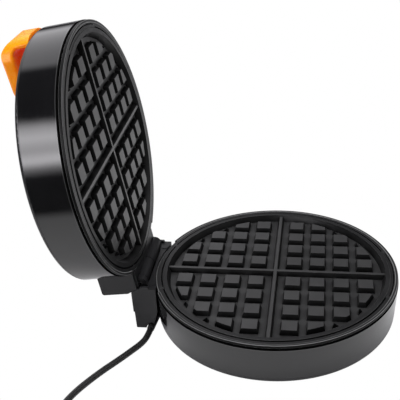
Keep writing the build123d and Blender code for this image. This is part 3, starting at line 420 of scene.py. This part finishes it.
# Plain finishes by slot: name, darker and lighter tint, roughness range, scales of tint and grain in
# cells per metre, depth of the grain in metres, shader values, and the stretch of a brushed grain
sheet_aluminium = (
    "sheet_aluminium", (0.66, 0.66, 0.67), (0.76, 0.76, 0.77), (0.28, 0.42), 40, 900, 0.00001,
    {"Metallic": 1.0}, (1.0, 0.04, 1.0),
)
plain_finishes = {
    "cover": (
        "cover_black", (0.022, 0.022, 0.023), (0.034, 0.034, 0.035), (0.5, 0.62), 60, 1500, 0.00005, {},
    ),
    "feet": (
        "foot_rubber", (0.022, 0.022, 0.022), (0.034, 0.033, 0.032), (0.62, 0.78), 200, 2600, 0.00004, {},
    ),
    "screws": (
        "zinc_steel", (0.44, 0.44, 0.45), (0.56, 0.56, 0.57), (0.28, 0.42), 300, 3000, 0.00001,
        {"Metallic": 1.0},
    ),
    "dark_screws": (
        "coated_steel", (0.024, 0.024, 0.025), (0.034, 0.034, 0.035), (0.34, 0.46), 300, 2400, 0.00001,
        {"Metallic": 0.3},
    ),
    "element": (
        "sooty_steel", (0.17, 0.15, 0.13), (0.30, 0.28, 0.26), (0.38, 0.58), 90, 1400, 0.00002,
        {"Metallic": 1.0},
    ),
    "shield": sheet_aluminium,
    "thermostat": sheet_aluminium,
    "ceramic": (
        "ceramic", (0.74, 0.71, 0.64), (0.84, 0.82, 0.76), (0.55, 0.7), 110, 2000, 0.00003, {},
    ),
    "hinge_plastic": (
        "moulded_black", (0.006, 0.006, 0.007), (0.010, 0.010, 0.011), (0.36, 0.48), 70, 1800, 0.00003, {},
    ),
    "pin": (
        "ground_steel", (0.50, 0.50, 0.51), (0.60, 0.60, 0.61), (0.16, 0.28), 200, 1500, 0.00001,
        {"Metallic": 1.0}, (0.05, 1.0, 1.0),
    ),
    "brass": (
        "brass", (0.70, 0.53, 0.24), (0.80, 0.63, 0.31), (0.20, 0.34), 160, 1200, 0.00001,
        {"Metallic": 1.0},
    ),
    "cord": (
        "cord_rubber", (0.010, 0.010, 0.010), (0.017, 0.017, 0.017), (0.34, 0.46), 150, 1800, 0.00002, {},
    ),
    "handle": (
        "orange_gloss_painted_glow", (0.90, 0.42, 0.012), (0.95, 0.45, 0.016), (0.24, 0.31), 40, 500, 0.000006,
        {
            "Specular IOR Level": 0.35,
            "Subsurface Weight": 0.5,
            "Subsurface Radius": (1.0, 0.30, 0.04),
            "Subsurface Scale": 0.008,
            # Painted glow: a faint red emission, though the handle is no lamp
            "Emission Color": (1.0, 0.02, 0.0, 1),
            "Emission Strength": 0.26,
        },
    ),
    "red_lens": (
        "red_lens", (0.50, 0.015, 0.010), (0.62, 0.03, 0.015), (0.08, 0.14), 250, 900, 0.000005,
        {"Coat Weight": 0.5, "Transmission Weight": 0.35},
    ),
    "green_lens": (
        "green_lens", (0.02, 0.36, 0.07), (0.04, 0.46, 0.11), (0.08, 0.14), 250, 900, 0.000005,
        {"Coat Weight": 0.5, "Transmission Weight": 0.35},
    ),
}


def new_material(name):
    material = bpy.data.materials.new(name)
    material.use_nodes = True
    return material


def shader_of(material):
    tree = material.node_tree
    return tree, tree.nodes["Principled BSDF"]


def tinted(tree, source, low, high):
    """Colour between two tints by a noise."""
    ramp = tree.nodes.new("ShaderNodeValToRGB")
    ramp.color_ramp.elements[0].position = noise_low
    ramp.color_ramp.elements[1].position = noise_high
    ramp.color_ramp.elements[0].color = (*low, 1)
    ramp.color_ramp.elements[1].color = (*high, 1)
    tree.links.new(source, ramp.inputs["Fac"])
    return ramp.outputs["Color"]


def retinted(tree, shader, factor, colour):
    """Lays a colour over the tint by a factor."""
    tint = shader.inputs["Base Color"].links[0].from_socket
    mixed = tree.nodes.new("ShaderNodeMix")
    mixed.data_type = "RGBA"
    tree.links.new(factor, mixed.inputs["Factor"])
    tree.links.new(tint, mixed.inputs[mix_first_colour])
    mixed.inputs[mix_second_colour].default_value = (*colour, 1)
    tree.links.new(mixed.outputs[mix_colour_result], shader.inputs["Base Color"])


def bumped(tree, shader, source, depth):
    """Small relief, with its depth in metres."""
    bump = tree.nodes.new("ShaderNodeBump")
    bump.inputs["Distance"].default_value = depth
    bump.inputs["Strength"].default_value = 1.0
    tree.links.new(source, bump.inputs["Height"])
    tree.links.new(bump.outputs["Normal"], shader.inputs["Normal"])


def finish_material(name, low, high, rough, tint_scale, grain_scale, grain_depth, values, stretch=None):
    """Procedural finish: the tint follows one noise, roughness and grain another."""
    material = new_material(name)
    tree, shader = shader_of(material)
    shader.inputs["Coat Roughness"].default_value = coat_roughness
    for socket, value in values.items():
        shader.inputs[socket].default_value = value
    tint = noise(tree, tint_scale, tint_detail)
    tree.links.new(tinted(tree, tint, low, high), shader.inputs["Base Color"])
    grain = noise(tree, grain_scale, grain_detail, stretch)
    tree.links.new(ranged(tree, grain, *rough), shader.inputs["Roughness"])
    bumped(tree, shader, grain, grain_depth)
    return material


def black_lacquer(name, place):
    """Glossy housing: a painted shadow as a dark band at the rim, a painted highlight as a fine light line
    under it, a duller outer edge.
    """
    material = finish_material(name, *lacquer_finish)
    tree, shader = shader_of(material)
    height = height_on_drum(tree, place)
    # Painted highlight: a fine light line painted just under the rim
    retinted(tree, shader, ranged(tree, height, 0.0, 1.0, *painted_rim_highlight), painted_rim_highlight_tint)
    # Painted shadow: a dark band painted along the rim, where the gloss and the coat are also taken away
    retinted(tree, shader, ranged(tree, height, 0.0, 1.0, *painted_rim_shadow), painted_rim_shadow_tint)
    specular = ranged(tree, height, lacquer_specular, 0.0, *painted_rim_shadow)
    tree.links.new(specular, shader.inputs["Specular IOR Level"])
    coat_off_in_painted_shadow = ranged(tree, height, lacquer_coat, 0.0, *painted_rim_shadow)
    over_edge = ranged(tree, height, 0.0, lacquer_coat, *outer_edge)
    tree.links.new(combined(tree, "MINIMUM", coat_off_in_painted_shadow, over_edge), shader.inputs["Coat Weight"])
    polish = shader.inputs["Roughness"].links[0].from_socket
    softer = ranged(tree, height, outer_edge_roughness, 0.0, *outer_edge)
    tree.links.new(combined(tree, "MAXIMUM", polish, softer), shader.inputs["Roughness"])
    return material


def non_stick(name, place):
    """Dark coating: painted shade in its hollows and on steep sides, darker and duller on the lip, with
    painted highlights as fine light lines along the edges.
    """
    material = finish_material(name, *coating_finish)
    tree, shader = shader_of(material)
    hollow = tree.nodes.new("ShaderNodeAmbientOcclusion")
    hollow.inputs["Distance"].default_value = hollow_reach
    hollow.samples = hollow_samples
    openness = hollow.outputs["AO"]
    radius = radius_on_drum(tree, place)
    normal = tree.nodes.new("ShaderNodeTexCoord").outputs["Normal"]
    facing = vector_step(tree, "DOT_PRODUCT", normal, drum_direction(place))
    slope = combined(tree, "MULTIPLY", facing, facing)
    retinted(tree, shader, ranged(tree, radius, 0.0, lip_strength, *lip_start), lip_tint)
    # Painted shade: steep sides of studs and ribs are darkened by their slope
    retinted(tree, shader, ranged(tree, slope, steep_side_painted_shade_strength, 0.0, *side_slope), steep_side_painted_shade_tint)
    # Painted shade: the coating is darkened where the ambient occlusion finds hollows
    retinted(tree, shader, ranged(tree, openness, hollow_painted_shade_strength, 0.0, *hollow_open), hollow_painted_shade_tint)
    # Painted highlight: light lines on the rounded edges, between the slopes of the sides and of the flat
    # tops
    rising = smooth_step(tree, slope, *painted_edge_highlight_from)
    falling = smooth_step(tree, slope, *painted_edge_highlight_to)
    retinted(tree, shader, combined(tree, "MULTIPLY", rising, falling, painted_edge_highlight_strength), painted_edge_highlight_tint)
    # Painted shade in the reflections too: gloss is damped in hollows and on steep sides, and lower on the
    # lip
    sheen = ranged(tree, openness, sheen_in_hollows, sheen_outside, *sheen_open)
    on_lip = ranged(tree, radius, 1.0, sheen_on_lip, *lip_start)
    on_sides = ranged(tree, slope, sheen_on_sides, 1.0, *side_slope)
    specular = combined(tree, "MULTIPLY", sheen, on_lip, on_sides)
    tree.links.new(specular, shader.inputs["Specular IOR Level"])
    return material


def woven_sleeve():
    """Glass fibre sleeve over the inner wires."""
    material = new_material("woven_sleeve")
    tree, shader = shader_of(material)
    tint = noise(tree, sleeve_tint_scale, tint_detail)
    tree.links.new(tinted(tree, tint, *sleeve_tints), shader.inputs["Base Color"])
    shader.inputs["Roughness"].default_value = sleeve_roughness
    bumped(tree, shader, noise(tree, sleeve_weave_scale, weave_detail), sleeve_weave_depth)
    return material


def paint(piece, material):
    piece.data.materials.clear()
    piece.data.materials.append(material)


slot_materials = {slot: finish_material(*finish) for slot, finish in plain_finishes.items()}
slot_materials["wire"] = woven_sleeve()
for part in frame["record"]["subparts"]:
    if part["material_slot"] in slot_materials:
        paint(nodes[part["node"]], slot_materials[part["material_slot"]])
paint(power_lead, slot_materials["cord"])
for body, place, edge in zip(("base", "lid"), (on_base, on_lid), plate_edges):
    coating = non_stick(body + "_non_stick", place)
    paint(nodes[body + "_waffle_plate"], coating)
    paint(edge, coating)
    paint(nodes[body + "_shell"], black_lacquer(body + "_black_lacquer", place))


# Rounding of sharp edges on the solid model's pieces: widths in millimetres, angles in degrees

edge_rounding = {
    "base_waffle_plate": 0.5,
    "lid_waffle_plate": 0.5,
    "base_hinge_housing": 0.35,
    "lid_hinge_housing": 0.35,
    "hinge_lower_cover": 0.35,
}
rounding_segments = 2
sharp_angle = 28
flat_angle = 0.6

# Distance in metres under which corners are one
weld_distance = 0.000002


def round_edges(piece, width):
    """Small real rounding along the sharp edges of a piece."""
    if "custom_normal" in piece.data.attributes:
        piece.data.attributes.remove(piece.data.attributes["custom_normal"])
    weld = piece.modifiers.new("weld", "WELD")
    weld.merge_threshold = weld_distance
    flat = piece.modifiers.new("flat", "DECIMATE")
    flat.decimate_type = "DISSOLVE"
    flat.angle_limit = radians(flat_angle)
    bevel = piece.modifiers.new("round", "BEVEL")
    bevel.width = width / 1000
    bevel.segments = rounding_segments
    bevel.limit_method = "ANGLE"
    bevel.angle_limit = radians(sharp_angle)
    bevel.use_clamp_overlap = True
    bevel.harden_normals = False
    piece.modifiers.new("even", "WEIGHTED_NORMAL")


for name, width in edge_rounding.items():
    round_edges(nodes[name], width)


# Studio: what polished faces mirror, the floor and the lamps

# Bright rectangles that only polished faces see, each with its strength. In degrees: left and right
# azimuth, low and high elevation, and the soft margins at the sides, below and above
soft_boxes = [
    ((-165, -98, 9.5, 39.5, 5, 9, 4.5), 5.2),
    ((-150, -108, 11, 17, 8, 4, 5), 3.2),
    ((-150, -108, 27, 33, 8, 5, 4), 2.0),
    ((-181, 181, 72, 91, 1, 8, 1), 3.0),
    ((100, 156, 10, 62, 7, 7, 7), 1.25),
    ((-40, 60, 25, 65, 8, 8, 8), 0.8),
]
white = (1, 1, 1)
plain_grey = (0.8, 0.8, 0.8)
studio_tint = (0.98, 0.965, 1.0)
studio_dark = 0.035
world_fill = 0.20

# Floor, in metres: polished faces see it bright up to the table's end and dark beyond
floor_half_side = 6.0
floor_drop = 0.0002
floor_tint = (0.98, 0.96, 1.06)
floor_lit = 0.65
floor_mirror = 0.79
table_end = -0.345
table_fade = (-0.06, 0.05)

# Lamps: name, place and target in metres, size in metres, power in watts
lamps = [
    ("top_lamp", (0.15, 0.15, 1.4), (0, 0, 0.1), 0.9, 16.0),
    ("left_lamp", (-1.1, 0.45, 0.75), (0, 0.05, 0.12), 0.8, 3.5),
    ("front_lamp", (-0.2, -1.3, 0.8), (0, 0, 0.12), 0.7, 4.0),
]
mirror_rays = ("Is Glossy Ray", "Is Transmission Ray")
camera_rays = ("Is Camera Ray",)


def ray_kinds(tree, names):
    """One for rays of these kinds, else zero."""
    path = tree.nodes.new("ShaderNodeLightPath")
    return combined(tree, "MAXIMUM", *(path.outputs[name] for name in names))


def glowing(tree, kind, colour, strength):
    """Background or emission, with its strength as a number or a socket."""
    node = tree.nodes.new(kind)
    node.inputs["Color"].default_value = (*colour, 1)
    if isinstance(strength, float):
        node.inputs["Strength"].default_value = strength
    else:
        tree.links.new(strength, node.inputs["Strength"])
    return node.outputs[0]


def mixed_shader(tree, factor, first, second):
    mix = tree.nodes.new("ShaderNodeMixShader")
    tree.links.new(factor, mix.inputs["Fac"])
    tree.links.new(first, mix.inputs[1])
    tree.links.new(second, mix.inputs[2])
    return mix.outputs[0]


def soft_box(tree, azimuth, elevation, box, strength):
    left, right, low, high, side, below, above = (radians(value) for value in box)
    edges = [
        smooth_step(tree, azimuth, left - side, left + side),
        smooth_step(tree, azimuth, right + side, right - side),
        smooth_step(tree, elevation, low - below, low + below),
        smooth_step(tree, elevation, high + above, high - above),
    ]
    return combined(tree, "MULTIPLY", *edges, strength)


def make_world():
    """White for the camera, soft boxes in a dark studio for polished faces, and an even fill."""
    world = bpy.data.worlds.new("studio")
    bpy.context.scene.world = world
    world.use_nodes = True
    tree = world.node_tree
    tree.nodes.clear()
    place = tree.nodes.new("ShaderNodeTexCoord")
    parts = tree.nodes.new("ShaderNodeSeparateXYZ")
    tree.links.new(place.outputs["Generated"], parts.inputs["Vector"])
    rise = tree.nodes.new("ShaderNodeMath")
    rise.operation = "ARCSINE"
    tree.links.new(parts.outputs["Z"], rise.inputs[0])
    elevation = rise.outputs["Value"]
    forward = combined(tree, "MULTIPLY", parts.outputs["Y"], -1.0)
    azimuth = combined(tree, "ARCTAN2", parts.outputs["X"], forward)
    boxes = [soft_box(tree, azimuth, elevation, box, strength) for box, strength in soft_boxes]
    mirrored = combined(tree, "ADD", *boxes, studio_dark)
    studio = glowing(tree, "ShaderNodeBackground", studio_tint, mirrored)
    fill = glowing(tree, "ShaderNodeBackground", plain_grey, world_fill)
    backdrop = glowing(tree, "ShaderNodeBackground", white, 1.0)
    unseen = mixed_shader(tree, ray_kinds(tree, mirror_rays), fill, studio)
    shown = mixed_shader(tree, ray_kinds(tree, camera_rays), unseen, backdrop)
    output = tree.nodes.new("ShaderNodeOutputWorld")
    tree.links.new(shown, output.inputs["Surface"])


def make_floor():
    """Plain floor: white for the camera, a bright table or a dark studio for polished faces."""
    side = floor_half_side
    mesh = bpy.data.meshes.new("floor")
    mesh.from_pydata([(-side, -side, 0), (side, -side, 0), (side, side, 0), (-side, side, 0)], [],
                     [(0, 1, 2, 3)])
    floor = added("floor", mesh)
    floor.location.z = -floor_drop
    material = new_material("pale_floor")
    tree = material.node_tree
    tree.nodes.clear()
    place = tree.nodes.new("ShaderNodeNewGeometry")
    parts = tree.nodes.new("ShaderNodeSeparateXYZ")
    tree.links.new(place.outputs["Position"], parts.inputs["Vector"])
    start, end = (table_end + fade for fade in table_fade)
    on_table = smooth_step(tree, parts.outputs["X"], start, end)
    off_table = smooth_step(tree, parts.outputs["X"], end, start)
    mirrored = ray_kinds(tree, mirror_rays)
    diffuse = tree.nodes.new("ShaderNodeBsdfDiffuse")
    diffuse.inputs["Color"].default_value = (*plain_grey, 1)
    brighter = combined(tree, "MULTIPLY", mirrored, on_table, floor_mirror - floor_lit)
    lit = tree.nodes.new("ShaderNodeAddShader")
    tree.links.new(diffuse.outputs[0], lit.inputs[0])
    tree.links.new(glowing(tree, "ShaderNodeEmission", floor_tint, brighter), lit.inputs[1])
    dark = glowing(tree, "ShaderNodeEmission", white, studio_dark)
    backdrop = glowing(tree, "ShaderNodeEmission", white, 1.0)
    in_dark = combined(tree, "MULTIPLY", mirrored, off_table)
    unseen = mixed_shader(tree, in_dark, lit.outputs[0], dark)
    shown = mixed_shader(tree, ray_kinds(tree, camera_rays), unseen, backdrop)
    output = tree.nodes.new("ShaderNodeOutputMaterial")
    tree.links.new(shown, output.inputs["Surface"])
    floor.data.materials.append(material)


def make_lamp(name, place, target, size, power):
    """Square lamp that polished faces don't mirror."""
    data = bpy.data.lights.new(name, "AREA")
    data.shape = "SQUARE"
    data.size = size
    data.energy = power
    lamp = added(name, data)
    lamp.location = place
    lamp.rotation_euler = (Vector(target) - Vector(place)).to_track_quat("-Z", "Y").to_euler()
    lamp.visible_glossy = False
    lamp.visible_transmission = False


make_world()
make_floor()
for lamp in lamps:
    make_lamp(*lamp)

view = bpy.context.scene.view_settings
view.view_transform = "Standard"


bpy.context.view_layer.update()
